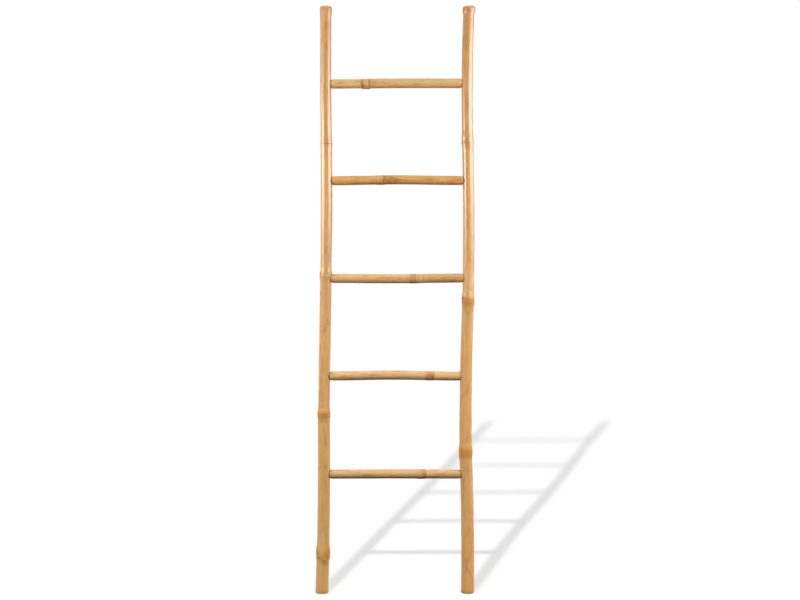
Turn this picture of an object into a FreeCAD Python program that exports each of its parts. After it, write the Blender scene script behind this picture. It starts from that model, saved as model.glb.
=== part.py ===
import FreeCAD, Part
import math
import os

# A leaning towel ladder of natural bamboo: two culms as poles, five thinner culms as rungs whose whittled
# ends are glued into bored mortises, and a steel brad driven through each joint from behind.
# Millimetres, +Z up, front towards -Y, origin on the floor under the middle of the ladder's box.

# Ladder
ladder_height = 1500.0
pole_spacing = 364.0
first_rung_height = 304.0
rung_pitch = 250.0

# Pole culms
pole_diameter = 31.0
pole_wall = 7.0
pole_sway = 8.2
pole_bow = 3.0
pole_depth_sway = 2.0
pole_node_band = 14.0
pole_node_swell = 2.0
pole_diaphragm = 9.0
top_stub = 14.0
top_round = 5.0
foot_round = 1.5

# Rung culms
rung_diameter = 23.2
rung_wall = 5.5
rung_bow = 3.0
rung_drift = 2.4
rung_node_band = 7.0
rung_node_swell = 1.1
rung_diaphragm = 5.0

# Mortise and tenon
tenon_diameter = 20.0
tenon_clearance = 0.2
tenon_end_gap = 0.3
tenon_shoulder = 2.0
tenon_taper = 12.0
mortise_depth = 20.0
mortise_margin = 3.0

# Brads: flat wire with a small crown and a chisel point
brad_width = 1.3
brad_thickness = 1.0
brad_length = 16.0
brad_point = 1.5
brad_crown_width = 2.0
brad_crown_height = 0.8
brad_sink = 0.4
brad_clearance = 0.05

# Every cut runs past its piece by this much
overrun = 5.0

# Angle of the seam of each culm, clear of mortises and brads
seam_angle = 60.0

# Outline of a culm's node, from the butt side up: heights in node bands above the sheath scar, and how much of
# the node's swelling shows there. The scar is a sharp lip, and the ridge stands above it
node_shares = ((-0.8, 0.0), (0.0, 0.85), (0.15, 0.6), (0.95, 1.0), (2.0, 0.0))

# The same on a rung, whose scar is too fine for a lip
rung_node_shares = ((-0.8, 0.0), (0.0, 0.85), (0.95, 1.0), (2.0, 0.0))

# The same at the top of a pole, which is sawn off just above the ridge
top_node_shares = ((-0.8, 0.0), (0.0, 0.85), (0.2, 0.6), (1.0, 1.0))

# Angles of the sections round a rounded end, and the two places that a straight hollow follows in a bowed culm
round_angles = (0, 45, 90)
hollow_line_shares = (0.2, 0.8)

# Left pole: nodes from the foot up. Heights follow the ladder's height, diameters the pole's diameter
# (lower end, middle and upper end of each internode), and the other shares their own named size
left_traits = {
    "node_height_shares": (0.0613, 0.3013, 0.5387, 0.7653),
    "node_band_shares": (1.1, 0.55, 0.65, 0.7),
    "node_swell_shares": (0.95, 1.1, 0.85, 0.9, 0.65),
    "node_tilts": (2.0, 0.0, -2.0, 1.5, 0.0),
    "width_shares": (
        (1.08, 1.076, 1.07),
        (1.026, 1.015, 1.003),
        (0.95, 0.945, 0.945),
        (0.9, 0.955, 0.916),
        (0.892, 0.9, 0.906),
    ),
    "sway_shares": (-1.0, -0.65, -0.37, 0.28, 0.43, 0.3),
    "bow_shares": (0.0, 0.47, 0.0, 0.4, -0.3),
    "depth_shares": (0.0, 0.7, -0.5, 0.6, -0.4, 0.2),
}

# Right pole
right_traits = {
    "node_height_shares": (0.234, 0.4933, 0.7667),
    "node_band_shares": (1.0, 0.93, 1.0),
    "node_swell_shares": (0.7, 0.8, 0.83, 1.05),
    "node_tilts": (-5.0, 5.0, 2.0, 0.0),
    "width_shares": (
        (1.094, 1.065, 1.039),
        (1.026, 1.0, 0.968),
        (0.945, 0.935, 0.926),
        (0.9, 0.905, 0.91),
    ),
    "sway_shares": (0.0, -0.57, 0.18, 0.04, 0.49),
    "bow_shares": (0.83, -0.77, 0.77, -1.0),
    "depth_shares": (0.4, -0.6, 0.5, -0.7, 0.2),
}

# Rungs from the lowest up: place of the node along the visible span, diameters left and right of it, rise of the
# middle, and how far the left and right end sit off the rung's height. A taller ladder starts the table again
rung_traits = (
    {"node_share": 0.7, "width_shares": (1.03, 1.0), "bow_share": 0.2, "drift_shares": (0.0, 0.0)},
    {"node_share": 0.762, "width_shares": (1.03, 1.0), "bow_share": 0.75, "drift_shares": (0.5, 0.2)},
    {"node_share": 0.625, "width_shares": (1.015, 1.0), "bow_share": -0.42, "drift_shares": (0.1, 0.6)},
    {"node_share": 0.362, "width_shares": (1.0, 1.01), "bow_share": 0.65, "drift_shares": (0.1, 0.35)},
    {"node_share": 0.248, "width_shares": (1.02, 1.06), "bow_share": 0.25, "drift_shares": (-1.0, -0.25)},
)

mortise_radius = tenon_diameter / 2 + tenon_clearance
mortise_reach = mortise_radius + mortise_margin

# As many rungs as leave half a pitch of pole above the top one
rung_count = int((ladder_height - first_rung_height) / rung_pitch + 1 / 2)
rung_heights = [first_rung_height + index * rung_pitch for index in range(rung_count)]

up = FreeCAD.Vector(0, 0, 1)
back = FreeCAD.Vector(0, 1, 0)
right = FreeCAD.Vector(1, 0, 0)
nowhere = FreeCAD.Vector(0, 0, 0)


def between(first, last, share):
    return first + (last - first) * share


def culm_solid(sections, axis):
    # Solid through round sections of (height, tilt, radius), centred on the axis and leaning by their tilt
    discs = []
    for height, tilt, radius in sections:
        wire = Part.Wire(Part.Circle(nowhere, up, radius).toShape())
        lean = FreeCAD.Rotation(back, tilt)
        seam = FreeCAD.Rotation(up, seam_angle)
        wire.Placement = FreeCAD.Placement(axis(height), lean.multiply(seam))
        discs.append(wire)
    return Part.makeLoft(discs, True, True)


def node(outline, scar, band, swell, below, above, tilt):
    # Sections of a node: its swelling stands on a cone from the radius below to the one above
    first = outline[0][0]
    last = outline[-1][0]
    sections = []
    for height_share, swell_share in outline:
        plain = between(below, above, (height_share - first) / (last - first))
        sections.append((scar + height_share * band, tilt, plain + swell_share * swell))
    return sections


def rounding(edge, radius, depth, outward):
    # Sections that round a culm's end over, from its side to its end face
    sections = []
    for degrees in round_angles:
        angle = math.radians(degrees)
        height = edge - outward * depth * (1 - math.sin(angle))
        sections.append((height, 0, radius - depth * (1 - math.cos(angle))))
    return sections


def hollow(start, finish, axis, radius):
    # Inside of an internode: a straight round hole along the middle of its bow
    low, high = [axis(between(start, finish, share)) for share in hollow_line_shares]
    run = (high - low) * (1 / (high.z - low.z))
    return Part.makeCylinder(radius, (finish - start) * run.Length, low + run * (start - low.z), run)


class Pole:
    # A pole's culm: its swaying axis, its radius at any height and its solid

    def __init__(self, traits, middle):
        self.middle = middle
        self.scars = [share * ladder_height for share in traits["node_height_shares"]]
        self.scars.append(ladder_height - top_stub)
        self.spans = list(zip([0] + self.scars[:-1], self.scars[:-1] + [ladder_height]))
        self.widths = [[share * pole_diameter for share in shares] for shares in traits["width_shares"]]
        self.sways = [share * pole_sway for share in traits["sway_shares"]]
        self.bows = [share * pole_bow for share in traits["bow_shares"]]
        self.depths = [share * pole_depth_sway for share in traits["depth_shares"]]
        self.rings = self.node_rings(traits)
        self.sections = sorted(sum(self.rings, self.plain_sections()))

    def place(self, height):
        # Number of the internode at a height, and how far up it that is
        index = next(number for number, span in enumerate(self.spans) if height <= span[1])
        low, high = self.spans[index]
        return index, (height - low) / (high - low)

    def plain_radius(self, height):
        # Radius of the culm without its nodes: straight between the internode's ends, with its middle's belly
        index, share = self.place(height)
        lower, middle, upper = self.widths[index]
        belly = 4 * share * (1 - share) * (middle - (lower + upper) / 2)
        return (between(lower, upper, share) + belly) / 2

    def node_rings(self, traits):
        bands = [share * pole_node_band for share in traits["node_band_shares"]]
        bands.append(top_stub - top_round)
        swells = [share * pole_node_swell for share in traits["node_swell_shares"]]
        belows = [width[-1] / 2 for width in self.widths]
        aboves = [width[0] / 2 for width in self.widths[1:]] + belows[-1:]
        outlines = [node_shares] * len(self.scars[:-1]) + [top_node_shares]
        rows = zip(outlines, self.scars, bands, swells, belows, aboves, traits["node_tilts"])
        return [node(*row) for row in rows]

    def plain_sections(self):
        # The foot, and both ends of a straight collar round each mortise where no node stands there
        plain = [(foot_round, 0, self.plain_radius(foot_round))]
        for height in rung_heights:
            for end in (height - mortise_reach, height + mortise_reach):
                if not any(ring[0][0] < end < ring[-1][0] for ring in self.rings):
                    plain.append((end, 0, self.plain_radius(height)))
        return plain

    def axis(self, height):
        # Straight up beside each mortise, and swaying and bowed between the nodes elsewhere
        beside = [rung for rung in rung_heights if abs(height - rung) < mortise_reach + mortise_margin]
        index, share = self.place(beside[0] if beside else height)
        across = between(self.sways[index], self.sways[index + 1], share)
        across += 4 * self.bows[index] * share * (1 - share)
        depth = between(self.depths[index], self.depths[index + 1], share)
        return FreeCAD.Vector(self.middle + across, depth, height)

    def radius(self, height):
        for (low, low_tilt, low_radius), (high, high_tilt, high_radius) in zip(self.sections, self.sections[1:]):
            if height <= high:
                return between(low_radius, high_radius, (height - low) / (high - low))

    def solid(self):
        foot = rounding(0, self.sections[0][-1], foot_round, -1)
        top = rounding(ladder_height, self.sections[-1][-1], top_round, 1)
        body = culm_solid(foot[:0:-1] + self.sections + top[1:], self.axis)
        start = -overrun
        for scar, width in zip(self.scars, self.widths):
            inside = hollow(start, scar - pole_diaphragm / 2, self.axis, min(width) / 2 - pole_wall)
            body = body.cut(inside)
            start = scar + pole_diaphragm / 2
        return body


class Rung:
    # A rung between the two poles. It is built along +Z with its rise on +X, then laid across the ladder

    def __init__(self, traits, left_pole, right_pole, height):
        self.end_heights = [height + share * rung_drift for share in traits["drift_shares"]]
        left_height, right_height = self.end_heights
        self.start = left_pole.axis(left_height)
        self.run = right_pole.axis(right_height) - self.start
        left_skin = left_pole.radius(left_height)
        right_skin = self.run.Length - right_pole.radius(right_height)
        self.left_floor = left_skin - mortise_depth
        self.right_floor = right_skin + mortise_depth
        self.left_end = self.left_floor + tenon_end_gap
        self.right_end = self.right_floor - tenon_end_gap
        self.body_start = left_skin + tenon_shoulder
        self.body_finish = right_skin - tenon_shoulder
        self.scar = between(self.body_start, self.body_finish, traits["node_share"])
        self.bow = traits["bow_share"] * rung_bow
        self.sections = self.culm_sections(*traits["width_shares"])

    def culm_sections(self, left_share, right_share):
        # Sections from one tenon's end to the other's: tenon, whittled taper, internode, node and back
        tenon = tenon_diameter / 2
        left = left_share * rung_diameter / 2
        right = right_share * rung_diameter / 2
        taper_top = self.body_start + tenon_taper
        taper_foot = self.body_finish - tenon_taper
        ring = node(rung_node_shares, self.scar, rung_node_band, rung_node_swell, left, right, 0)
        sections = [(self.left_end, 0, tenon), (self.body_start, 0, tenon), (taper_top, 0, left)]
        sections.append(((taper_top + ring[0][0]) / 2, 0, left))
        sections += ring
        sections.append(((ring[-1][0] + taper_foot) / 2, 0, right))
        sections += [(taper_foot, 0, right), (self.body_finish, 0, tenon), (self.right_end, 0, tenon)]
        return sections

    def axis(self, place):
        # The rise leaves both tenons straight: a squared sine between the shoulders
        share = (place - self.body_start) / (self.body_finish - self.body_start)
        rise = self.bow * math.sin(math.pi * min(1, max(0, share))) ** 2
        return FreeCAD.Vector(rise, 0, place)

    def placement(self):
        across = FreeCAD.Vector(self.run).normalize()
        return FreeCAD.Placement(self.start, FreeCAD.Rotation(up, across.cross(up), across, "ZXY"))

    def mortises(self):
        # Bores in the left and right pole, each a little wider and deeper than its tenon
        bores = []
        for floor, inward in ((self.left_floor, up), (self.right_floor, -up)):
            bore = Part.makeCylinder(mortise_radius, mortise_depth + overrun, up * floor, inward)
            bore.Placement = self.placement().multiply(bore.Placement)
            bores.append(bore)
        return bores

    def solid(self):
        body = culm_solid(self.sections, self.axis)
        before = (self.left_end - overrun, self.scar - rung_diaphragm / 2)
        after = (self.scar + rung_diaphragm / 2, self.right_end + overrun)
        for start, finish in (before, after):
            body = body.cut(hollow(start, finish, self.axis, tenon_diameter / 2 - rung_wall))
        body.Placement = self.placement()
        return body


def brad(pole, height, room):
    # A brad driven towards the front, its crown sunk in the pole's back. With room it is the hole it leaves
    crown = brad_crown_width / 2 + room
    shank = brad_width / 2 + room
    neck = brad_crown_height + room
    tip = brad_length + room
    rear = -overrun if room else 0
    half = [(crown, rear), (crown, neck), (shank, neck), (shank, tip - brad_point), (0, tip)]
    outline = half + [(-side, depth) for side, depth in reversed(half[:-1])]
    thickness = brad_thickness + 2 * room
    points = [FreeCAD.Vector(-thickness / 2, -depth, side) for side, depth in outline]
    solid = Part.Face(Part.makePolygon(points + points[:1])).extrude(right * thickness)
    solid.translate(pole.axis(height) + back * (pole.radius(height) - brad_sink))
    return solid


def ladder():
    poles = {
        "left_pole": Pole(left_traits, -pole_spacing / 2),
        "right_pole": Pole(right_traits, pole_spacing / 2),
    }
    nodes = {name: pole.solid() for name, pole in poles.items()}
    brads = {name: [] for name in poles}
    for index, height in enumerate(rung_heights):
        traits = rung_traits[index % len(rung_traits)]
        rung = Rung(traits, poles["left_pole"], poles["right_pole"], height)
        body = rung.solid()
        for (name, pole), bore, end_height in zip(poles.items(), rung.mortises(), rung.end_heights):
            hole = brad(pole, end_height, brad_clearance)
            body = body.cut(hole)
            nodes[name] = nodes[name].cut(bore).cut(hole)
            brads[name].append(brad(pole, end_height, 0))
        nodes["rung_%d" % (index + 1)] = body
    for name, solids in brads.items():
        nodes[name + "_brads"] = Part.makeCompound(solids)
    return nodes


def centred(nodes):
    # Moves the ladder so that the middle of its box stands over the origin
    whole = Part.makeCompound(list(nodes.values())).optimalBoundingBox(False, False)
    shift = FreeCAD.Vector(-whole.Center.x, -whole.Center.y, 0)
    for shape in nodes.values():
        shape.translate(shift)
    return nodes


os.makedirs("parts", exist_ok=True)
for name, shape in centred(ladder()).items():
    shape.exportStep("parts/%s.step" % name)
    print(name, len(shape.Solids), round(shape.Volume), shape.isValid())
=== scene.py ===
import math

import bpy
import numpy as np
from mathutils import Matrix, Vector


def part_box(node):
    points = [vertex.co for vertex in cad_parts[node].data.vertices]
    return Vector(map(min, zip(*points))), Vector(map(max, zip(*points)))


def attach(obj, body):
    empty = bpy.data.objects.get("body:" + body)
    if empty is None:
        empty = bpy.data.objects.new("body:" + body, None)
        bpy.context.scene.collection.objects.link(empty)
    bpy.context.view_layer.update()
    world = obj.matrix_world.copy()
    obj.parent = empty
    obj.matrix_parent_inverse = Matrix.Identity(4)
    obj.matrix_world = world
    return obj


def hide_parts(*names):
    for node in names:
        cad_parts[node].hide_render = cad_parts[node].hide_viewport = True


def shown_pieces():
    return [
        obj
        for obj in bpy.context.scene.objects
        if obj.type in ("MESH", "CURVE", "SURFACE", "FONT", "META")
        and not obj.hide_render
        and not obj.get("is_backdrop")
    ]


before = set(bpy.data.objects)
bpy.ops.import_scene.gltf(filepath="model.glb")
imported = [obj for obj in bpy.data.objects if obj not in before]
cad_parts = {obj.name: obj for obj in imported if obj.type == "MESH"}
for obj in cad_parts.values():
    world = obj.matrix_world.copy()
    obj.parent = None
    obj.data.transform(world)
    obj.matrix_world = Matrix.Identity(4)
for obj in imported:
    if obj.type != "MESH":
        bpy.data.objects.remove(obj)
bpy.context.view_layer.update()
mm = 0.001
print("frame loaded:", ", ".join(sorted(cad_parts)))


# Shapes in numpy: every function works on whole arrays

def ease(values):
    # smooth step, 3 v^2 - 2 v^3 of the value held between 0 and 1
    held = np.clip(values, 0, 1)
    return held * held * (3 - 2 * held)


def bell(values, width):
    # e to the power of minus (value / width) squared
    return np.exp(-(values / width) ** 2)


def wrapped(angles):
    # the same angle between minus pi and pi
    return (angles + np.pi) % (2 * np.pi) - np.pi


def blended(places, knots, values):
    # values at the knots, joined by smooth steps
    knots = np.asarray(knots, float)
    values = np.asarray(values, float)
    lower = np.clip(np.searchsorted(knots, places, side="right") - 1, 0, len(knots) - 2)
    share = ease((places - knots[lower]) / (knots[lower + 1] - knots[lower]))
    return values[lower] + (values[lower + 1] - values[lower]) * share


def closeRows(low, high, plain, marks):
    # rows from low to high, a plain step apart and closer by the marks (place, reach, step): the running sum of
    # one over the step, read at whole numbers
    fineCount = 8000
    places = np.linspace(low, high, fineCount)
    steps = np.full(places.shape, plain)
    for place, reach, step in marks:
        far = ease((np.abs(places - place) - reach) / reach)
        steps = np.minimum(steps, step + (plain - step) * far)
    total = np.cumsum((places[1] - places[0]) / steps)
    count = int(round(total[-1]))
    return np.interp(np.linspace(total[0], total[-1], count), total, places)


def unevenness(along, angles, seed):
    # slow bumps of a grown stem: a few sines along and round it, between about minus one and one
    slowness = 160
    draw = np.random.default_rng(seed)
    bumps = np.zeros(np.broadcast(along, angles).shape)
    for lobes in (0, 1, 2, 3):
        for waves in (1.7, 4.1, 9.3):
            phase = draw.uniform(0, 2 * np.pi)
            bumps = bumps + np.sin(waves * along / slowness + lobes * angles + phase) / (1.5 + lobes)
    return bumps / 4


nodeForm = {"lip": 0.85, "flarePower": 2.4, "lipEdge": 0.13, "ridgeStart": 0.15, "ridgeRun": 0.8,
            "ridgeEnd": 0.95, "fallRun": 1.5}


def nodeOutline(heights, rise, step, crest):
    # swelling of a node by height over its sheath scar, in node bands: a flare up to the lip of the scar, a step
    # back behind the lip, the rounded ridge up to its crest and a long fall
    lipHeight, ridgeEnd = nodeForm["lip"], nodeForm["ridgeEnd"]
    flare = lipHeight * np.clip((heights + rise) / rise, 0, 1) ** nodeForm["flarePower"]
    lip = lipHeight - step * ease(heights / nodeForm["lipEdge"])
    climb = ease((heights - nodeForm["ridgeStart"]) / nodeForm["ridgeRun"])
    ridge = lip + (crest - lipHeight + step) * climb
    fall = crest * (1 - ease((heights - ridgeEnd) / nodeForm["fallRun"]))
    return np.where(heights < 0, flare, np.where(heights < ridgeEnd, ridge, fall))


def patch(along, angles, place, reach, degrees, spread, slope):
    # soft-edged oval on a skin: the root of the squared distances along and round, full inside and fading out
    full, fading = 0.5, 0.9
    turned = np.degrees(wrapped(angles - math.radians(degrees)))
    apart = np.hypot((along - place - slope * turned) / reach, turned / spread)
    return 1 - ease((apart - full) / fading)


sharpDegrees = 42


def closedSkin(name, rings, startPoint, endPoint, layers):
    # one closed mesh: quads between neighbouring rings, and a fan to a single point at each end
    rows, columns = rings.shape[:2]
    index = np.arange(rows * columns).reshape(rows, columns)
    beside = np.roll(index, -1, axis=1)
    quads = np.stack((index[:-1], beside[:-1], beside[1:], index[1:]), axis=-1).reshape(-1, 4)
    first = np.full(columns, rows * columns)
    startFan = np.stack((first, beside[0], index[0]), axis=-1)
    endFan = np.stack((index[-1], beside[-1], first + 1), axis=-1)
    points = np.concatenate((rings.reshape(-1, 3), [startPoint, endPoint])) * mm
    mesh = bpy.data.meshes.new(name)
    mesh.from_pydata(points, [], quads.tolist() + startFan.tolist() + endFan.tolist())
    mesh.shade_smooth()
    mesh.set_sharp_from_angle(angle=math.radians(sharpDegrees))
    for layer, (kind, field, values) in layers.items():
        flat = values.reshape(rows * columns, -1)
        flat = np.concatenate((flat, flat[:1], flat[-1:])).astype(np.float32)
        mesh.attributes.new(layer, kind, "POINT").data.foreach_set(field, flat.ravel())
    piece = bpy.data.objects.new(name, mesh)
    bpy.context.collection.objects.link(piece)
    print(name, "rows", rows, "columns", columns, "triangles", 2 * len(quads) + 2 * columns)
    return piece


# Poles. Sizes in millimetres, angles in degrees from the front, positive to the right.
# scars to crests: for each node from the foot up, its scar's height, the height of its band, how matt it is, its
# swelling, the run of its flare in bands, and as shares of the swelling the step behind its lip and its ridge
# outer: extra width of the outer side at the foot and at the top
# tilts: lean of each scar; ridgeLines, tints: strengths of the dark line on each ridge and of the node's own tone
# widths: bottom, middle and top of each internode
# sways, depths: offsets to the right and to the back, at the foot, at each node but the last and at the top
# bows: of each length between those places
# buds: node, angle, dip of the scar, spread of the dip in radians, swelling
# lines: strength of each scar's dark line, the angle where it is strongest and the share that it keeps elsewhere
# tones: from the foot to the top, at even steps; hollow: radius and ceiling of the open foot
# patches: layer, height, reach, angle, spread, slope in millimetres a degree, strength
culm = {"columns": 128, "plainStep": 6.5, "nodeStep": 1.1, "jointStep": 0.7, "ovality": 0.006, "bumps": 0.22,
        "hollowBumps": 0.25, "lobes": 0.12, "clearUnder": 0.8, "clearOver": 2, "grainShift": 0.37}
budForm = {"hang": 0.35, "width": 3.2, "narrowing": 0.12, "lowest": -6, "highest": 12, "middle": 1.5,
           "reach": 6.5}

leftPole = {
    "name": "leftCulm", "node": "left_pole", "seed": 11, "side": 1,
    "middle": (-179.555, -0.451),
    "scars": (92, 452, 808, 1148, 1486),
    "bands": (15.4, 10.0, 9.1, 9.8, 9.0),
    "matts": (0.95, 1.0, 0.6, 0.05, 0.2),
    "swells": (1.9, 1.8, 1.5, 1.1, 1.3),
    "rises": (0.8, 1.0, 2.0, 2.5, 3.5),
    "steps": (0.22, 0.18, 0.08, 0.3, 0),
    "crests": (1.0, 1.0, 1.0, 0.6, 1.0),
    "outer": (0.3, 0.9),
    "tilts": (2, 0, -2, 1.5, 0),
    "widths": ((33.5, 33.4, 33.2), (31.8, 31.5, 31.1), (29.5, 29.3, 29.3), (27.9, 29.6, 29.0),
               (28.3, 27.9, 28.1)),
    "sways": (-8.2, -5.3, -3.0, 2.3, 3.5, 2.5),
    "bows": (0, 1.4, 0, 1.2, -0.9),
    "depths": (0, 1.4, -1.0, 1.2, -0.8, 0.4),
    "buds": ((0, 21, 8.0, 0.5, 0.8), (1, 196, 7.0, 0.42, 0.9), (3, 187, 6.0, 0.42, 0.8)),
    "lines": ((0.5, 30, 0.6), (0.6, 70, 0.3), (0.4, -60, 0.2), (1.0, 35, 0.25), (0, 90, 0.5)),
    "ridgeLines": (0.1, 0.1, 0.1, 0.4, 0),
    "tints": (0.15, 0.15, 0.05, 0.25, 0.1),
    "tones": (0.92, 0.68, 0.62, 0.52, 0.42, 0.36),
    "hollow": (9.585, 87.5),
    "patches": (
        # the pale patches at 84, 451 and 811 are painted highlights on the lips of scars; the other pale patches
        # are paler colour
        ("pale", 124, 30, -15, 34, 0, 0.8), ("tint", 99, 14, 46, 36, 0, 0.5), ("line", 95, 2.2, 46, 8, 0, 0.6),
        ("line", 92, 1.6, -34, 24, -0.07, 0.4), ("pale", 84, 3, 32, 16, 0.2, 0.9),
        # the shade patch at 78 is painted shadow below the V-shaped scar; the other shade patches are brown
        # colour
        ("shade", 78, 8, 20, 34, 0, 0.6), ("shade", 443, 9, 0, 50, 0, 0.4), ("tint", 456, 3.5, -5, 42, 0, 0.9),
        ("pale", 451, 1.3, -5, 40, 0, 1.0), ("pale", 813, 4.5, 5, 80, 0, 0.5), ("pale", 811, 4, 20, 15, 0, 0.9),
        ("line", 818, 0.9, -58, 28, 0, 0.6), ("line", 960, 0.9, 56, 24, 0, 0.5),
        ("tint", 1150, 12, -2, 24, 0, 0.75), ("shade", 1489, 3.5, 12, 10, 0, 0.6),
        ("shade", 1476, 4, 2, 9, 0, 0.4), ("shade", 1496, 2.5, 70, 40, 0, 0.5),
    ),
}

rightPole = {
    "name": "rightCulm", "node": "right_pole", "seed": 23, "side": -1,
    "middle": (184.445, -0.451),
    "scars": (351, 740, 1150, 1486),
    "bands": (14.0, 13.0, 14.0, 9.0),
    "matts": (1.0, 0.9, 0.1, 0.2),
    "swells": (1.4, 1.6, 1.66, 2.1),
    "rises": (1.4, 1.8, 2.2, 1.3),
    "steps": (0.08, 0.06, 0.25, 0),
    "crests": (1.0, 1.0, 0.65, 1.0),
    "outer": (0.1, 0.6),
    "tilts": (-5, 5, 2, 0),
    "widths": ((33.9, 33.0, 32.2), (31.8, 31.0, 30.0), (29.3, 29.0, 28.7), (27.9, 28.1, 28.2)),
    "sways": (0, -4.7, 1.5, 0.3, 4.0),
    "bows": (2.5, -2.3, 2.3, -3.0),
    "depths": (0.8, -1.2, 1.0, -1.4, 0.4),
    "buds": ((0, 172, 8.0, 0.42, 1.0), (2, 184, 7.0, 0.42, 0.9)),
    "lines": ((0.12, -20, 0.5), (0.1, 30, 0.3), (0.6, -30, 0.35), (0, 90, 0.5)),
    "ridgeLines": (0.1, 0.1, 0.15, 0),
    "tints": (0.5, 0.6, 0.2, 0.2),
    "tones": (1.0, 0.7, 0.64, 0.57, 0.44, 0.4),
    "hollow": (9.105, 278),
    "patches": (
        ("shade", 58, 4.5, 9, 30, -0.5, 0.55), ("shade", 66, 10, -16, 7, 0, 0.5),
        ("tint", 359, 10, -20, 46, 0, 0.7), ("line", 369, 1.0, -45, 34, 0, 0.35),
        ("pale", 378, 7, 0, 60, 0, 0.35), ("pale", 792, 42, 12, 70, 0, 0.6), ("tint", 744, 8, 16, 50, 0, 0.8),
        ("shade", 726, 14, 12, 42, 0, 0.35), ("line", 754, 2.2, -54, 20, 0, 0.9),
        ("tint", 1148, 15, -8, 24, 0, 0.8), ("line", 1149.5, 2.4, -25, 11, 0, 0.8),
        ("line", 1158, 1.2, -41, 17, -0.45, 0.5), ("shade", 1250, 30, 0, 40, 0, 0.5),
        ("tint", 1410, 30, -18, 40, 0, 0.5), ("tint", 1455, 40, -8, 70, 0, 0.3),
        ("tint", 1488, 9, -6, 26, 0, 0.8),
        ("shade", 1494, 2.5, -20, 12, 0, 0.5), ("shade", 1497, 2.5, 60, 50, 0, 0.4),
    ),
}

# the dark marks at the joints are partly glue stain and partly painted shade, where the rung and the pole meet
joint = {"boreRadius": 10.2, "endGap": 0.3, "stainAndShadeReach": 1.1, "farAway": 1e3,
         "dimpleRadius": 1.3, "dimpleDepth": 0.55, "dimpleSlope": 1.0,
         "leftStainAndShade": (0.65, 0.9, 0.35, 1.0, 0.6), "rightStainAndShade": (0.85, 0.35, 0.45, 0.75, 0.35)}
# footShade: strength of the painted shade along the bottom of each foot
poleEnds = {"lipRound": 0.6, "footRound": 3.8, "topRound": 5.0, "footShade": 0.45,
            "hollowRows": 14, "bendRows": 6, "ringRows": 6, "crownRows": 7}
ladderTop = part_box("left_pole")[1][2] / mm
rungNodes = ["rung_%d" % number for number in range(1, 6)]
rungBoxes = [[np.array(corner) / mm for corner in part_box(node)] for node in rungNodes]
rungEnds = ((304.0, 304.0), (555.2, 554.48), (804.24, 805.44), (1054.24, 1054.84), (1301.6, 1303.4))


def poleAxis(pole, heights):
    # middle of the culm: straight from node to node, with a parabola of each internode's bow added across
    knots = np.array((0,) + pole["scars"][:-1] + (ladderTop,), float)
    lower = np.clip(np.searchsorted(knots, heights, side="right") - 1, 0, len(knots) - 2)
    share = (heights - knots[lower]) / (knots[lower + 1] - knots[lower])
    across = np.interp(heights, knots, pole["sways"]) + 4 * np.array(pole["bows"])[lower] * share * (1 - share)
    depth = blended(heights, knots, pole["depths"])
    return np.stack((pole["middle"][0] + across, pole["middle"][1] + depth, heights), axis=-1)


def rungRun(number):
    # start of a rung on the left pole's axis, and its run to the right pole's
    leftEnd, rightEnd = rungEnds[number]
    start = poleAxis(leftPole, np.array(leftEnd))
    return start, poleAxis(rightPole, np.array(rightEnd)) - start


def poleScars(pole, number, angles):
    # height of a sheath scar round the culm: leaning by its tilt, wavy, and dipping under its bud
    radius = pole["widths"][number][2] / 2
    scar = pole["scars"][number] - math.tan(math.radians(pole["tilts"][number])) * radius * np.sin(angles)
    scar = scar + 0.35 * np.sin(3 * angles + number) + 0.25 * np.sin(5 * angles + 2 * number)
    for owner, degrees, dip, spread, swelling in pole["buds"]:
        if owner == number:
            scar = scar - dip * bell(wrapped(angles - math.radians(degrees)), spread)
    return scar


def poleRadius(pole, heights, angles):
    # plain width with its belly, a little more on the outer side, plus the outline of each node over its own
    # scar, plus buds and slow bumps
    clearUnder, clearOver = culm["clearUnder"], culm["clearOver"]
    knots, values = [0], [pole["widths"][0][0]]
    for number, (scar, band) in enumerate(zip(pole["scars"], pole["bands"])):
        start = 0 if number == 0 else pole["scars"][number - 1] + clearOver * pole["bands"][number - 1]
        finish = scar - clearUnder * band
        knots += [(start + finish) / 2, finish]
        values += list(pole["widths"][number][1:])
        if number + 1 < len(pole["widths"]):
            knots.append(scar + clearOver * band)
            values.append(pole["widths"][number + 1][0])
    knots.append(ladderTop + 1)
    values.append(values[-1])
    radius = blended(heights, knots, values) / 2 * (1 + culm["ovality"] * np.cos(2 * angles + pole["seed"]))
    radius = radius + culm["bumps"] * unevenness(heights, angles, pole["seed"])
    outer = np.interp(heights, (0, ladderTop), pole["outer"])
    radius = radius + outer * (1 - pole["side"] * np.sin(angles)) / 2
    for number, (band, swell) in enumerate(zip(pole["bands"], pole["swells"])):
        over = (heights - poleScars(pole, number, angles)) / band
        outline = nodeOutline(over, *[pole[key][number] for key in ("rises", "steps", "crests")])
        if number == len(pole["bands"]) - 1:
            outline = np.where(over > nodeForm["ridgeEnd"], 1.0, outline)
        lobes = 1 + culm["lobes"] * np.sin(2 * angles + 3 * number + pole["seed"])
        radius = radius + swell * outline * lobes
        for owner, degrees, dip, spread, swelling in pole["buds"]:
            if owner == number:
                beside = wrapped(angles - math.radians(degrees)) * pole["widths"][number][2] / 2
                lift = heights - pole["scars"][number] + budForm["hang"] * dip
                held = np.clip(lift, budForm["lowest"], budForm["highest"])
                width = budForm["width"] - budForm["narrowing"] * held
                above = lift - budForm["middle"]
                radius = radius + swelling * bell(beside, width) * bell(above, budForm["reach"])
    return radius


def grownBy(mask):
    # the mask and its neighbours on the grid, round the seam too
    wide = mask | np.roll(mask, 1, axis=1) | np.roll(mask, -1, axis=1)
    tall = wide.copy()
    tall[1:] |= wide[:-1]
    tall[:-1] |= wide[1:]
    return tall


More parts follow.
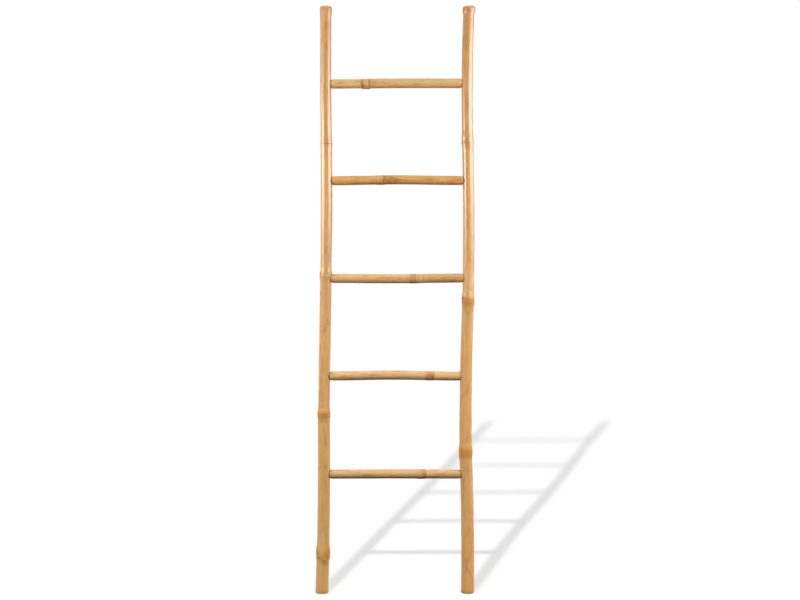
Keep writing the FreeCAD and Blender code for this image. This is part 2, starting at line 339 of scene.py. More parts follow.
def bored(rings, centre, out, bottom):
    # a round mortise: the skin inside its circle goes down to a flat bottom, and the grid's points on both sides
    # of the circle are laid on it, the outer ones still on the skin. Also gives the distance from the circle
    radius = joint["boreRadius"]
    beside = np.array((-out[1], out[0], 0.0))
    beside = beside / np.linalg.norm(beside)
    rise = np.cross(out, beside)
    offset = rings - centre
    along = offset @ out
    side = offset @ beside
    lift = offset @ rise
    distance = np.hypot(side, lift)
    inside = (distance < radius) & (along > 0)
    outer = grownBy(inside) & ~inside
    inner = inside & grownBy(~inside)
    laid = np.where(outer | inner, radius / np.maximum(distance, radius / 10), 1.0)
    skin = np.hypot(along, side)
    newAlong = along + np.sqrt(np.maximum(skin ** 2 - (side * laid) ** 2, 0)) - np.abs(along)
    newAlong = np.where(inside, bottom, np.where(outer, newAlong, along))
    moved = centre + newAlong[..., None] * out
    moved = moved + (side * laid)[..., None] * beside + (lift * laid)[..., None] * rise
    touched = (inside | outer)[..., None]
    away = np.where(along > 0, distance - radius, joint["farAway"])
    return np.where(touched, moved, rings), np.where(inside, 0.0, away)


def buildPole(pole):
    # a culm on end: rings of its radius round its axis, from the ceiling of the open foot down, over the sawn
    # ring, up the skin and over the top; then the brads' dimples, the bored mortises, and the marks by height and
    # angle
    angles = np.arange(culm["columns"]) * 2 * np.pi / culm["columns"]
    endHeights = [ends[0 if pole["side"] > 0 else 1] for ends in rungEnds]
    stainAndShadeLevels = joint["leftStainAndShade"] if pole["side"] > 0 else joint["rightStainAndShade"]
    nodes = zip(pole["scars"], pole["bands"])
    marks = [(scar + band / 2, 1.6 * band + 6, culm["nodeStep"]) for scar, band in nodes]
    marks += [(height, joint["boreRadius"] + 2.5, culm["jointStep"]) for height in endHeights]
    lipRound, footRound, topRound = poleEnds["lipRound"], poleEnds["footRound"], poleEnds["topRound"]
    heights = closeRows(footRound, ladderTop - topRound, culm["plainStep"], marks)[:, None]
    radii = poleRadius(pole, heights, angles)
    footRadius, topRadius = radii[:1], radii[-1:]

    # inside of the open foot, its sawn ring, the skin, the rounded top and the sawn top
    hollow, ceiling = pole["hollow"]
    inner = hollow + culm["hollowBumps"] * unevenness(np.zeros((1, 1)), angles, pole["seed"] + 5)
    down = np.linspace(ceiling, lipRound, poleEnds["hollowRows"])[:, None]
    bend = np.radians(np.linspace(0, 90, poleEnds["bendRows"]))[:, None]
    lip = [inner + lipRound * (1 - np.cos(bend[1:])), lipRound * (1 - np.sin(bend[1:]))]
    flat = np.linspace(0, 1, poleEnds["ringRows"])[1:-1, None]
    ring = inner + lipRound + (footRadius - footRound - inner - lipRound) * flat
    heel = [footRadius - footRound * (1 - np.sin(bend[:-1])), footRound * (1 - np.cos(bend[:-1]))]
    brow = [topRadius - topRound * (1 - np.cos(bend[1:])), ladderTop - topRound * (1 - np.sin(bend[1:]))]
    crown = (topRadius - topRound) * np.linspace(1, 0, poleEnds["crownRows"])[1:-1, None]
    # radii, heights and share of end grain
    heelGrain, browGrain = 0.35, 0.15
    blocks = [
        (inner + 0 * down, down, 1), (lip[0], lip[1], 1), (ring, 0 * flat, 1), (heel[0], heel[1], heelGrain),
        (radii, heights, 0), (brow[0], brow[1], browGrain), (crown, ladderTop + 0 * crown, 1),
    ]
    allRadii = np.concatenate([block[0] + 0 * angles for block in blocks])
    allHeights = np.concatenate([block[1] + 0 * angles for block in blocks])
    shares = [np.full(block[0].shape[:1] + angles.shape, float(block[2])) for block in blocks]
    endGrain = np.concatenate(shares)

    local = np.stack((allRadii * np.sin(angles), -allRadii * np.cos(angles), allHeights), axis=-1)
    middle = poleAxis(pole, np.clip(allHeights, 0, ladderTop))
    back = np.abs(wrapped(angles - np.pi))
    skin = (endGrain <= browGrain).astype(float)
    for height in endHeights:
        reach = np.hypot(back * allRadii, allHeights - height)
        depth = joint["dimpleDepth"] * (1 - ease((reach - joint["dimpleRadius"]) / joint["dimpleSlope"])) * skin
        local[..., :2] *= (1 - depth / allRadii)[..., None]
    rings = local.copy()
    rings[..., :2] += middle[..., :2]

    # glue stain and painted shade round each mortise, where a rung's end meets the pole
    stainAndShade = np.zeros(allRadii.shape)
    for number, box in enumerate(rungBoxes):
        start, run = rungRun(number)
        out = pole["side"] * run / np.linalg.norm(run)
        centre = start if pole["side"] > 0 else start + run
        tip = box[0][0] if pole["side"] > 0 else box[1][0]
        bottom = pole["side"] * (tip - centre[0]) - joint["endGap"]
        plain = rings.copy()
        rings, away = bored(rings, centre, out, bottom)
        rings = np.where((skin > 0)[..., None], rings, plain)
        stainAndShade = np.maximum(stainAndShade, stainAndShadeLevels[number] * bell(np.maximum(away, 0), joint["stainAndShadeReach"]))

    # painted shade: a dark band round the bottom of each pole's outside, standing in for the shade under the
    # rounded foot
    outside = endGrain <= heelGrain
    stainAndShade = np.maximum(stainAndShade, poleEnds["footShade"] * (1 - ease(allHeights / (1.6 * footRound))) * outside)

    # painted marks: scar lines, node tints and patches, some of them painted highlights on scar lips, by height
    # over each scar
    painted = {layer: np.zeros(allRadii.shape) for layer in ("line", "tint", "pale", "shade")}
    matt = np.zeros(allRadii.shape)
    for number, band in enumerate(pole["bands"]):
        lift = allHeights - poleScars(pole, number, angles)
        over = lift / band
        strength, degrees, kept = pole["lines"][number]
        turned = kept + (1 - kept) * (0.5 + 0.5 * np.cos(angles - math.radians(degrees))) ** 2
        ridgeLine = pole["ridgeLines"][number] * bell(lift - nodeForm["ridgeEnd"] * band, 0.9)
        line = strength * turned * bell(lift + 0.1, 1.0) + ridgeLine
        painted["line"] = np.maximum(painted["line"], line)
        tint = pole["tints"][number] * ease((over + 0.7) / 0.8) * (1 - ease((over - 0.7) / 0.5))
        painted["tint"] = np.maximum(painted["tint"], tint)
        dull = ease((over + 0.7) / 0.6) * (1 - ease((over - 1.5) / 1.0))
        matt = np.maximum(matt, pole["matts"][number] * dull)
    for layer, place, reach, degrees, spread, slope, strength in pole["patches"]:
        spot = strength * patch(allHeights, angles, place, reach, degrees, spread, slope)
        painted[layer] = np.maximum(painted[layer], spot)
    tone = blended(allHeights, np.linspace(0, ladderTop, len(pole["tones"])), pole["tones"])
    shift = culm["grainShift"] * pole["seed"]
    marked = np.stack((painted["line"], painted["tint"], painted["pale"], stainAndShade), axis=-1) * outside[..., None]
    zones = np.stack((0 * tone, endGrain, matt * skin, painted["shade"] * skin), axis=-1)
    layers = {
        "grain": ("FLOAT_VECTOR", "vector", local * mm + np.array((0, 0, shift))),
        "marks": ("FLOAT_COLOR", "color", marked),
        "zones": ("FLOAT_COLOR", "color", zones),
        "tone": ("FLOAT", "value", tone),
    }
    startPoint = poleAxis(pole, np.array(float(ceiling)))
    endPoint = poleAxis(pole, np.array(ladderTop))
    return closedSkin(pole["name"], rings, startPoint, endPoint, layers)


# Rungs from the lowest up. node: the two ends of its swelling along the rung; widths: on both sides of the node
# bow: rise of the middle; skins: from each pole's axis to its skin; sag: how much more the node swells below than
# above; lines: strength of the dark line at each end of the node
# patches: layer, place along, reach, angle (0 on top, 90 in front), spread, slope, strength
rungStyle = {"columns": 96, "tenon": 20.0, "taper": 3.0, "shoulder": 0.6, "whittle": 12.0, "endRound": 0.8,
             "plainStep": 3.6, "nodeStep": 0.8, "endStep": 1.1, "facets": 11, "facetDepth": 0.14, "bumps": 0.16,
             "poleRadius": 15.2, "lineWidth": 0.95, "firstSeed": 41, "seedStep": 7, "grainShift": 0.53}
rungs = (
    {"node": (239.5, 258.5), "widths": (23.9, 23.2), "bow": 0.6, "skins": (15.701, 16.208), "swell": 0.75,
     "sag": 0.1, "tone": 0.8, "lines": (0.3, 0.75), "tint": 0.2,
     "patches": (("pale", 242.5, 6, 90, 100, 0, 1.0), ("tint", 253, 7, 90, 150, 0, 0.6),
                 ("pale", 268, 10, 85, 90, 0, 0.6), ("shade", 256, 4, 120, 40, 0, 0.4))},
    {"node": (259.5, 278.3), "widths": (23.9, 23.2), "bow": 2.25, "skins": (14.671, 15.48), "swell": 0.55,
     "sag": -0.2, "tone": 0.86, "lines": (0.05, 0.5), "tint": 0.1,
     "patches": (("tint", 269, 12, 98, 60, 0, 1.0), ("line", 275, 3.5, 105, 32, 0, 0.3),
                 ("pale", 288, 12, 78, 55, 0, 1.0))},
    {"node": (217.0, 237.0), "widths": (23.5, 23.2), "bow": -1.26, "skins": (15.2, 14.597), "swell": 0.5,
     "sag": -0.1, "tone": 0.75, "lines": (0.15, 0.15), "tint": 0.15,
     "patches": (("tint", 222.5, 8, 90, 160, 0, 0.65), ("line", 229.2, 0.9, 90, 150, 0, 0.5),
                 ("pale", 239, 11, 80, 100, 0, 0.6), ("line", 249, 1.0, 90, 120, 0, 0.3),
                 ("shade", 300, 60, 90, 70, 0, 0.4))},
    {"node": (128.0, 147.3), "widths": (23.2, 23.4), "bow": 1.95, "skins": (14.712, 14.416), "swell": 0.55,
     "sag": 0.4, "tone": 0.34, "lines": (0.3, 1.0), "tint": 0.2,
     "patches": (("pale", 137, 11, 80, 60, 0, 0.7), ("tint", 138, 10, 125, 45, 0, 0.6),
                 ("shade", 166, 22, 100, 60, 0, 0.9))},
    {"node": (91.5, 112.0), "widths": (23.6, 24.6), "bow": 0.75, "skins": (13.937, 14.018), "swell": 1.0,
     "sag": 0.8, "tone": 0.77, "lines": (0.75, 0.95), "tint": 0.2,
     "patches": (("pale", 102, 10, 70, 45, 0, 0.9), ("line", 94, 3.6, 122, 30, 0, 0.8),
                 ("line", 93, 2.4, 75, 50, 0, 0.45), ("line", 111, 1.8, 95, 60, 0, 0.5),
                 ("tint", 97, 7, 100, 70, 0, 0.5), ("tint", 121, 10, 90, 60, 0, 0.5),
                 ("pale", 128, 12, 70, 50, 0, 0.4))},
)


def buildRung(number):
    # a culm laid across: tenon, whittled end, internode, node and back. The rise is a squared sine, the node a
    # plateau with smooth sides, and the whittled ends lose a little of their radius in flat cuts
    rung, box = rungs[number], rungBoxes[number]
    seed = rungStyle["firstSeed"] + rungStyle["seedStep"] * number
    start, run = rungRun(number)
    length = np.linalg.norm(run)
    ahead = run / length
    front = np.array((ahead[1], -ahead[0], 0.0))
    front = front / np.linalg.norm(front)
    up = np.cross(front, ahead)
    bodyStart = rung["skins"][0] + rungStyle["shoulder"]
    bodyFinish = length - rung["skins"][1] - rungStyle["shoulder"]
    tips = (box[0][0] - start[0], box[1][0] - start[0])
    low, high = rung["node"]
    whittle, endRound, endStep = rungStyle["whittle"], rungStyle["endRound"], rungStyle["endStep"]
    marks = [((low + high) / 2, high - low, rungStyle["nodeStep"])]
    marks += [(bodyStart + whittle / 3, whittle, endStep), (bodyFinish - whittle / 3, whittle, endStep)]
    along = closeRows(tips[0] + endRound, tips[1] - endRound, rungStyle["plainStep"], marks)[:, None]
    angles = np.arange(rungStyle["columns"]) * 2 * np.pi / rungStyle["columns"]

    wave = 0.4 * np.sin(3 * angles + seed) + 0.7 * np.sin(angles + number)
    swelling = ease((along - low - wave + 3.5) / 6) * (1 - ease((along - high - wave + 1.2) / 2.6))
    plain = blended(along, (tips[0] - 1, low, high, tips[1] + 1),
                    (rung["widths"][0], rung["widths"][0], rung["widths"][1], rung["widths"][1])) / 2
    lobes = 1 + 0.25 * np.sin(angles + seed) - rung["sag"] * np.cos(angles)
    radii = plain + rung["swell"] * swelling * lobes + rungStyle["bumps"] * unevenness(along, angles, seed)
    inset = np.minimum(along - bodyStart, bodyFinish - along)
    turns = rungStyle["facets"] * angles + 0.7 * np.sin(2 * angles + seed) + along * 0.09
    cut = (1 - ease((inset - whittle / 2) / whittle)) * ease((inset + 1.0) / 2)
    radii = radii - rungStyle["facetDepth"] * (0.4 + 0.6 * np.cos(turns)) * cut
    tenonRadius = rungStyle["tenon"] / 2
    radii = radii + (tenonRadius - radii) * (1 - np.clip(inset / rungStyle["taper"], 0, 1) ** 0.5)
    radii = np.where(inset < 0, np.minimum(radii, tenonRadius), radii)

    # rounded tips of the tenons
    bend = np.radians(np.array((15, 50)))[:, None]
    rim = endRound * np.sin(bend)
    first = radii[:1] - endRound + rim
    last = (radii[-1:] - endRound + rim)[::-1]
    firstAlong = tips[0] + endRound * (1 - np.cos(bend)) + 0 * angles
    lastAlong = (tips[1] - endRound * (1 - np.cos(bend)) + 0 * angles)[::-1]
    radii = np.concatenate((first, radii, last))
    along = np.concatenate((firstAlong, along + 0 * angles, lastAlong))

    share = np.clip((along - bodyStart) / (bodyFinish - bodyStart), 0, 1)
    rise = rung["bow"] * np.sin(np.pi * share) ** 2
    turned = np.stack((radii * np.cos(angles), radii * np.sin(angles)), axis=-1)
    lift = (rise + turned[..., 0])[..., None]
    rings = start + along[..., None] * ahead + lift * up + turned[..., 1:] * front

    # painted marks: the node's lines and tint, the patches, and glue stain with painted shade where the rung
    # meets the poles
    inset = np.minimum(along - bodyStart, bodyFinish - along)
    painted = {layer: np.zeros(radii.shape) for layer in ("line", "tint", "pale", "shade")}
    for place, strength in zip(rung["node"], rung["lines"]):
        line = strength * bell(along - place - wave, rungStyle["lineWidth"])
        painted["line"] = np.maximum(painted["line"], line)
    painted["tint"] = rung["tint"] * ease((along - low) / 4) * (1 - ease((along - high) / 4))
    for layer, place, reach, degrees, spread, slope, strength in rung["patches"]:
        spot = strength * patch(along - wave, angles, place, reach, degrees, spread, slope)
        painted[layer] = np.maximum(painted[layer], spot)
    leftHalf = along < length / 2
    skins = np.where(leftHalf, along - rung["skins"][0], length - rung["skins"][1] - along)
    poleRound = rungStyle["poleRadius"]
    lean = np.sqrt(np.maximum(poleRound ** 2 - turned[..., 1] ** 2, 0)) - poleRound
    strength = np.where(leftHalf, joint["leftStainAndShade"][number], joint["rightStainAndShade"][number])
    # glue stain and painted shade where the rung meets each pole
    stainAndShade = strength * (1 - ease((skins - lean - 0.8) / 2.2))
    whittled = 1 - ease((inset - 0.8 * whittle) / 6)
    matt = ease((along - low + 4) / 5) * (1 - ease((along - high) / 5))
    grain = np.concatenate((turned, along[..., None]), axis=-1) * mm
    marked = np.stack((painted["line"], painted["tint"], painted["pale"], stainAndShade), axis=-1)
    layers = {
        "grain": ("FLOAT_VECTOR", "vector", grain + np.array((0, 0, rungStyle["grainShift"] * seed))),
        "marks": ("FLOAT_COLOR", "color", marked),
        "zones": ("FLOAT_COLOR", "color", np.stack((whittled, 0 * matt, matt, painted["shade"]), axis=-1)),
        "tone": ("FLOAT", "value", rung["tone"] + 0 * radii),
    }
    startPoint, endPoint = [start + tip * ahead for tip in tips]
    return closedSkin("rungCulm%d" % (number + 1), rings, startPoint, endPoint, layers)


# Shaders as expressions

class Wire:
    # a shader socket in a sum: each operator adds one Math node
    def __init__(self, sheet, socket):
        self.sheet = sheet
        self.socket = socket

    def also(self, output):
        return Wire(self.sheet, self.socket.node.outputs[output])

    def maths(self, operation, first, second):
        return self.sheet.add("ShaderNodeMath", {"operation": operation}, {0: first, 1: second})

    def __add__(self, other):
        return self.maths("ADD", self, other)

    def __radd__(self, other):
        return self.maths("ADD", other, self)

    def __sub__(self, other):
        return self.maths("SUBTRACT", self, other)

    def __rsub__(self, other):
        return self.maths("SUBTRACT", other, self)

    def __mul__(self, other):
        return self.maths("MULTIPLY", self, other)

    def __rmul__(self, other):
        return self.maths("MULTIPLY", other, self)

    def __truediv__(self, other):
        return self.maths("DIVIDE", self, other)

    def __rtruediv__(self, other):
        return self.maths("DIVIDE", other, self)


class Sheet:
    # a node tree, filled through one method
    def __init__(self, owner):
        owner.use_nodes = True
        self.tree = owner.node_tree
        self.tree.nodes.clear()

    def add(self, kind, settings, inputs, output=0):
        node = self.tree.nodes.new(kind)
        for key, value in settings.items():
            setattr(node, key, value)
        for key, value in inputs.items():
            if isinstance(value, Wire):
                self.tree.links.new(value.socket, node.inputs[key])
            else:
                node.inputs[key].default_value = value
        return Wire(self, node.outputs[output]) if node.outputs else None

    def mix(self, factor, first, second):
        return self.add("ShaderNodeMix", {"data_type": "RGBA"}, {0: factor, 6: first, 7: second}, 2)

    def fit(self, value, low, high, kind="SMOOTHSTEP"):
        return self.add("ShaderNodeMapRange", {"interpolation_type": kind}, {0: value, 1: low, 2: high})

    def noise(self, vector, across, along, detail):
        stretched = self.add("ShaderNodeMapping", {}, {0: vector, 3: (across, across, along)})
        return self.add("ShaderNodeTexNoise", {}, {
            "Vector": stretched, "Scale": 1.0, "Detail": detail, "Roughness": 0.6})


def paint(red, green, blue):
    # screen colour of 0 to 255 as the linear colour that nodes take
    return tuple(((value / 255 + 0.055) / 1.055) ** 2.4 for value in (red, green, blue)) + (1.0,)


poleTones = {
    "ochre": paint(192, 138, 72), "amber": paint(214, 160, 88), "straw": paint(238, 175, 82),
    "umber": paint(160, 96, 40), "node": paint(196, 126, 56), "scar": paint(98, 60, 28),
    "shade": paint(160, 108, 52), "pale": paint(226, 188, 128), "stainAndShade": paint(84, 50, 22),
    "whittled": paint(222, 176, 116), "sawn": paint(206, 170, 118),
}
rightTones = dict(poleTones, straw=paint(244, 172, 79))
rungTones = dict(poleTones, ochre=paint(204, 148, 76), amber=paint(219, 167, 97), straw=paint(226, 190, 140),
                 node=paint(186, 124, 64))


def bambooSkin(name, tones, gloss):
    # lacquered bamboo: fibres and broad streaks along the culm, blotches, flecks, and the marks over them
    material = bpy.data.materials.new(name)
    sheet = Sheet(material)
    grain = sheet.add("ShaderNodeAttribute", {"attribute_name": "grain"}, {}, "Vector")
    marks = sheet.add("ShaderNodeAttribute", {"attribute_name": "marks"}, {}, "Color")
    stainAndShade = marks.also("Alpha")
    line = sheet.add("ShaderNodeSeparateColor", {}, {0: marks}, 0)
    tint, pale = line.also(1), line.also(2)
    zones = sheet.add("ShaderNodeAttribute", {"attribute_name": "zones"}, {}, "Color")
    shade = zones.also("Alpha")
    whittled = sheet.add("ShaderNodeSeparateColor", {}, {0: zones}, 0)
    sawn, matt = whittled.also(1), whittled.also(2)
    tone = sheet.add("ShaderNodeAttribute", {"attribute_name": "tone"}, {}, "Fac")

    fibres = sheet.noise(grain, 1500, 14, 3)
    streaks = sheet.noise(grain, 330, 3.2, 3)
    broad = sheet.noise(grain, 95, 6, 2)
    blotches = sheet.noise(grain, 120, 26, 4)
    flecks = sheet.noise(grain, 900, 190, 2)
    cloud = sheet.noise(grain, 230, 120, 4)

    colour = sheet.mix(sheet.fit(0.7 * broad + tone, 0.4, 1.1), tones["ochre"], tones["amber"])
    colour = sheet.mix(0.8 * sheet.fit(tone, 0.5, 1.0), colour, tones["straw"])
    # share, pattern, its range from none to full, tone
    grown = (
        (0.35, streaks, 0.48, 0.72, "straw"), (0.22, streaks, 0.5, 0.3, "umber"),
        (0.16, fibres, 0.5, 0.75, "umber"), (0.42, blotches, 0.5, 0.72, "umber"),
        (0.4, blotches, 0.5, 0.28, "straw"), (0.3, flecks, 0.68, 0.78, "scar"),
    )
    for share, pattern, low, high, key in grown:
        colour = sheet.mix(share * sheet.fit(pattern, low, high), colour, tones[key])
    # the same with the mark that it fills
    marked = (
        (0.7, pale, cloud, 0.2, 0.55, "pale"), (0.85, tint, cloud, 0.15, 0.55, "node"),
        (0.8, shade, cloud, 0.2, 0.6, "shade"), (0.85, line, cloud, 0.15, 0.5, "scar"),
        (0.25, whittled, fibres, 0.25, 0.6, "whittled"),
    )
    for share, mark, pattern, low, high, key in marked:
        colour = sheet.mix(share * mark * sheet.fit(pattern, low, high), colour, tones[key])
    endGrain = sheet.mix(sheet.fit(flecks, 0.45, 0.62), tones["sawn"], tones["umber"])
    colour = sheet.mix(0.85 * sawn, colour, endGrain)
    # dark glue stain and painted shade at the joints, and painted shade along the feet
    colour = sheet.mix(0.9 * stainAndShade, colour, tones["stainAndShade"])

    height = 0.5 * fibres + 0.35 * streaks + 0.5 * flecks * sawn
    bump = sheet.add("ShaderNodeBump", {}, {"Strength": 0.25, "Distance": 0.0004, "Height": height})
    coat = gloss * (1 - 0.85 * sawn) * (1 - 0.4 * whittled) * (1 - 0.8 * matt)
    shader = sheet.add("ShaderNodeBsdfPrincipled", {}, {
        "Base Color": colour, "Roughness": 0.42 + 0.16 * fibres + 0.2 * whittled, "Normal": bump,
        "Specular IOR Level": 0.05, "Coat Weight": coat, "Coat Roughness": 0.08, "Coat IOR": 1.7,
    })
    sheet.add("ShaderNodeOutputMaterial", {}, {0: shader})
    return material


def wireSteel(name):
    # drawn steel with fine lengthwise lines and a little tarnish
    material = bpy.data.materials.new(name)
    sheet = Sheet(material)
    place = sheet.add("ShaderNodeTexCoord", {}, {}, "Object")
    lines = sheet.noise(place, 2500, 400, 2)
    tarnish = sheet.fit(sheet.noise(place, 700, 700, 3), 0.45, 0.7)
    shader = sheet.add("ShaderNodeBsdfPrincipled", {}, {
        "Base Color": sheet.mix(0.6 * tarnish, paint(196, 196, 192), paint(128, 116, 100)),
        "Metallic": 1.0, "Roughness": 0.28 + 0.2 * lines + 0.2 * tarnish,
    })
    sheet.add("ShaderNodeOutputMaterial", {}, {0: shader})
    return material


poleGloss, rungGloss = 0.85, 0.1
leftSkin = bambooSkin("leftBamboo", poleTones, poleGloss)
rightSkin = bambooSkin("rightBamboo", rightTones, poleGloss)
rungSkin = bambooSkin("rungBamboo", rungTones, rungGloss)
steel = wireSteel("bradSteel")
body = "root"

for pole, skin in ((leftPole, leftSkin), (rightPole, rightSkin)):
    piece = buildPole(pole)
    piece.data.materials.append(skin)
    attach(piece, body)
    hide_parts(pole["node"])
print("poles built")

rungPieces = []
for number, node in enumerate(rungNodes):
    piece = buildRung(number)
    rungPieces.append(piece)
    piece.data.materials.append(rungSkin)
    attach(piece, body)
    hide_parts(node)
print("rungs built")

for node in ("left_pole_brads", "right_pole_brads"):
    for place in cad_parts[node].material_slots:
        place.material = steel
print("brads dressed")


# Stage: a white floor that keeps the key lamp's shadow, a white surround and soft lamps

studio = {"keyPlace": (-0.943, -4.957, 3.045), "keyLevel": 1.22, "keyRadius": 0.04, "keyCount": 5,
          "keyGap": 0.037, "ambient": 0.36, "floorTone": 0.9, "floorBounce": 0.03, "white": 1.03,
          "floorHalf": 30.0, "floorRows": 9, "shadowEnd": 10.4, "fadeEnd": 1.3, "softness": 0.085}


def seenDirectly(sheet):
    # 1 for what the camera, a reflection or clear glass sees, 0 for light that bounces
    path = sheet.add("ShaderNodeLightPath", {}, {}, "Is Camera Ray")
    seen = path + path.also("Is Glossy Ray") + path.also("Is Transmission Ray")
    return sheet.add("ShaderNodeClamp", {}, {0: seen})


def buildFloor():
    # flat grid; its glow fills up what the key lamp and the surround leave short of white, so only shadow shows
    half, count = studio["floorHalf"], studio["floorRows"]
    steps = np.linspace(-half, half, count)
    x, y = np.meshgrid(steps, steps)
    points = np.stack((x, y, 0 * x), axis=-1).reshape(-1, 3)
    index = np.arange(count * count).reshape(count, count)
    corners = (index[:-1, :-1], index[:-1, 1:], index[1:, 1:], index[1:, :-1])
    quads = np.stack(corners, axis=-1).reshape(-1, 4)
    mesh = bpy.data.meshes.new("floor")
    mesh.from_pydata(points, [], quads.tolist())
    floor = bpy.data.objects.new("floor", mesh)
    bpy.context.collection.objects.link(floor)
    material = bpy.data.materials.new("whiteFloor")
    sheet = Sheet(material)
    place = sheet.add("ShaderNodeTexCoord", {}, {}, "Object")
    apart = sheet.add("ShaderNodeVectorMath", {"operation": "SUBTRACT"}, {0: place, 1: studio["keyPlace"]})
    distance = sheet.add("ShaderNodeVectorMath", {"operation": "LENGTH"}, {0: apart}, "Value")
    shown = sheet.fit(distance, 0.0, studio["shadowEnd"], "LINEAR") * studio["floorTone"]
    lit = shown * (studio["keyLevel"] * studio["keyPlace"][2] / distance + studio["ambient"])
    direct = seenDirectly(sheet)
    glow = sheet.add("ShaderNodeEmission", {}, {"Color": direct * (studio["white"] - lit)})
    bounced = (studio["floorBounce"],) * 3 + (1.0,)
    colour = sheet.mix(direct, bounced, shown)
    soft = sheet.add("ShaderNodeSubsurfaceScattering", {"falloff": "BURLEY"}, {
        "Color": colour, "Scale": studio["softness"], "Radius": (1.0, 1.0, 1.0)})
    plain = sheet.add("ShaderNodeBsdfDiffuse", {}, {"Color": colour})
    far = sheet.fit(distance, studio["shadowEnd"], studio["fadeEnd"] * studio["shadowEnd"])
    matt = sheet.add("ShaderNodeMixShader", {}, {0: far, 1: soft, 2: plain})
    both = sheet.add("ShaderNodeAddShader", {}, {0: glow, 1: matt})
    sheet.add("ShaderNodeOutputMaterial", {}, {0: both})
    mesh.materials.append(material)
    floor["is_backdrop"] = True
    return floor


floor = buildFloor()

world = bpy.data.worlds.new("whiteSurround")
bpy.context.scene.world = world
sheet = Sheet(world)
level = studio["ambient"] + (1 - studio["ambient"]) * seenDirectly(sheet)
sky = sheet.add("ShaderNodeBackground", {}, {"Color": (1, 1, 1, 1), "Strength": level})
sheet.add("ShaderNodeOutputWorld", {}, {0: sky})


def onlyOn(name, pieces):
    # collection of the pieces that a lamp lights
    group = bpy.data.collections.new(name)
    bpy.context.scene.collection.children.link(group)
    for piece in pieces:
        group.objects.link(piece)
    return group


onLadder = onlyOn("lampsOnLadder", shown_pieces())
onPoles = onlyOn("lampsOnPoles", [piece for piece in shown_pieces() if piece not in rungPieces])
onRungs = onlyOn("lampsOnRungs", rungPieces)
onFloor = onlyOn("lampOnFloor", [floor])

# the key lamp is a short column of points, so that the rungs' shadows blur more than the poles'
for number in range(studio["keyCount"]):
    key = bpy.data.lights.new("keyLamp", "POINT")
    key.shadow_soft_size = studio["keyRadius"]
    key.energy = 1.0
    sheet = Sheet(key)
    # a level that doesn't fade with distance: pi for a matt white surface, times four pi for a lamp that shines
    # all round
    level = 4 * math.pi * math.pi * studio["keyLevel"] / studio["keyCount"]
    steady = sheet.add("ShaderNodeLightFalloff", {}, {"Strength": level}, "Constant")
    shine = sheet.add("ShaderNodeEmission", {}, {"Strength": steady})
    sheet.add("ShaderNodeOutputLight", {}, {0: shine})
    keyLamp = bpy.data.objects.new("keyLamp", key)
    rise = (number - (studio["keyCount"] - 1) / 2) * studio["keyGap"]
    keyLamp.location = Vector(studio["keyPlace"]) + Vector((0, 0, rise))
    keyLamp.visible_camera = False
    keyLamp.visible_glossy = False
    keyLamp.light_linking.receiver_collection = onFloor
    bpy.context.collection.objects.link(keyLamp)

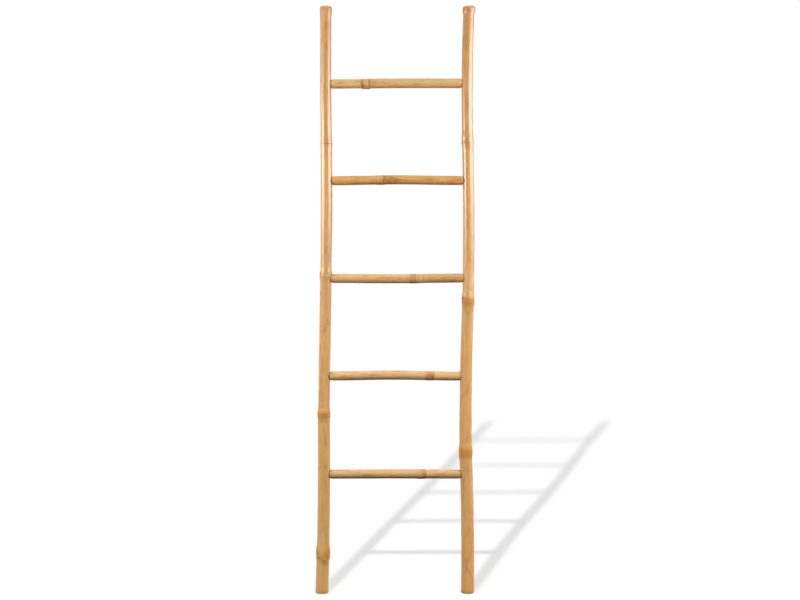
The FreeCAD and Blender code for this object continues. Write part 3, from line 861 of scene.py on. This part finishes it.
# panels: place, aim, width, height, brightness, whether they light matt surfaces and show in the gloss, and for
# a panel with a hot middle its height and spread
panels = {
    "leftGloss": ((-1.3, -0.5, 1.25), (0.0, -0.5, 1.25), 1.3, 1.2, 8.3, False, True, (1.22, 0.29)),
    "rightGloss": ((1.2, -0.7, 1.35), (0.0, -0.7, 1.35), 1.9, 1.5, 7.8, False, True, (1.38, 0.42)),
    "leftFill": ((-1.25, -0.5, 1.0), (0.0, 0.0, 0.9), 0.7, 0.7, 6.3, True, False, None),
    "rightFill": ((1.25, -0.5, 1.0), (0.0, 0.0, 0.9), 0.7, 0.7, 7.3, True, False, None),
    "leftHigh": ((-1.25, -1.0, 1.8), (0.0, 0.0, 0.9), 0.7, 0.7, 4.8, True, False, None),
    "rightTop": ((5.0, -5.0, 6.0), (0.0, 0.0, 0.75), 2.0, 2.0, 12.8, True, False, None),
    "front": ((0.1, -2.6, 1.0), (0.0, 0.0, 0.75), 2.0, 0.6, 2.6, True, False, None),
    "rungFront": ((0.0, -1.2, 1.4), (0.0, 0.0, 0.8), 1.6, 0.5, 1.15, True, False, None),
    "overhead": ((0.0, -0.6, 3.2), (0.0, 0.0, 0.75), 2.4, 2.0, 3.5, False, True, None),
    "backFill": ((0.6, 3.0, 1.9), (0.0, 0.0, 0.75), 2.2, 1.8, 6.6, True, False, None),
}


def hotMiddle(lamp, middle, spread):
    # brightness by height, e to the power of minus the squared distance from the middle in spreads
    sheet = Sheet(lamp)
    place = sheet.add("ShaderNodeNewGeometry", {}, {}, "Position")
    away = (sheet.add("ShaderNodeSeparateXYZ", {}, {0: place}, 2) - middle) / spread
    fade = sheet.add("ShaderNodeMath", {"operation": "EXPONENT"}, {0: -1 * away * away})
    sheet.add("ShaderNodeOutputLight", {}, {0: sheet.add("ShaderNodeEmission", {}, {"Strength": fade})})


# the poles and the rungs have a front lamp each, and the other panels light the whole ladder
lampTargets = {"front": onPoles, "rungFront": onRungs}
for name, (place, aim, width, tall, bright, matt, gloss, hot) in panels.items():
    lamp = bpy.data.lights.new(name, "AREA")
    lamp.shape = "RECTANGLE"
    lamp.size, lamp.size_y = width, tall
    lamp.energy = math.pi * width * tall * bright
    if hot:
        hotMiddle(lamp, *hot)
    panel = bpy.data.objects.new(name, lamp)
    panel.location = place
    panel.rotation_euler = (Vector(aim) - Vector(place)).to_track_quat("-Z", "Y").to_euler()
    panel.visible_camera = False
    panel.visible_diffuse = matt
    panel.visible_glossy = gloss
    panel.light_linking.receiver_collection = lampTargets.get(name, onLadder)
    bpy.context.collection.objects.link(panel)
print("lamps placed")

view = {"place": (0.012, -3.4, 0.7492), "lens": 59.8, "sensor": 36.0}
camera = bpy.data.cameras.new("frontCamera")
camera.lens = view["lens"]
camera.sensor_width = view["sensor"]
frontCamera = bpy.data.objects.new("frontCamera", camera)
frontCamera.location = view["place"]
frontCamera.rotation_euler = (math.radians(90), 0, 0)
bpy.context.collection.objects.link(frontCamera)
bpy.context.scene.camera = frontCamera
bpy.context.scene.view_settings.view_transform = "Standard"

print("scene ready")
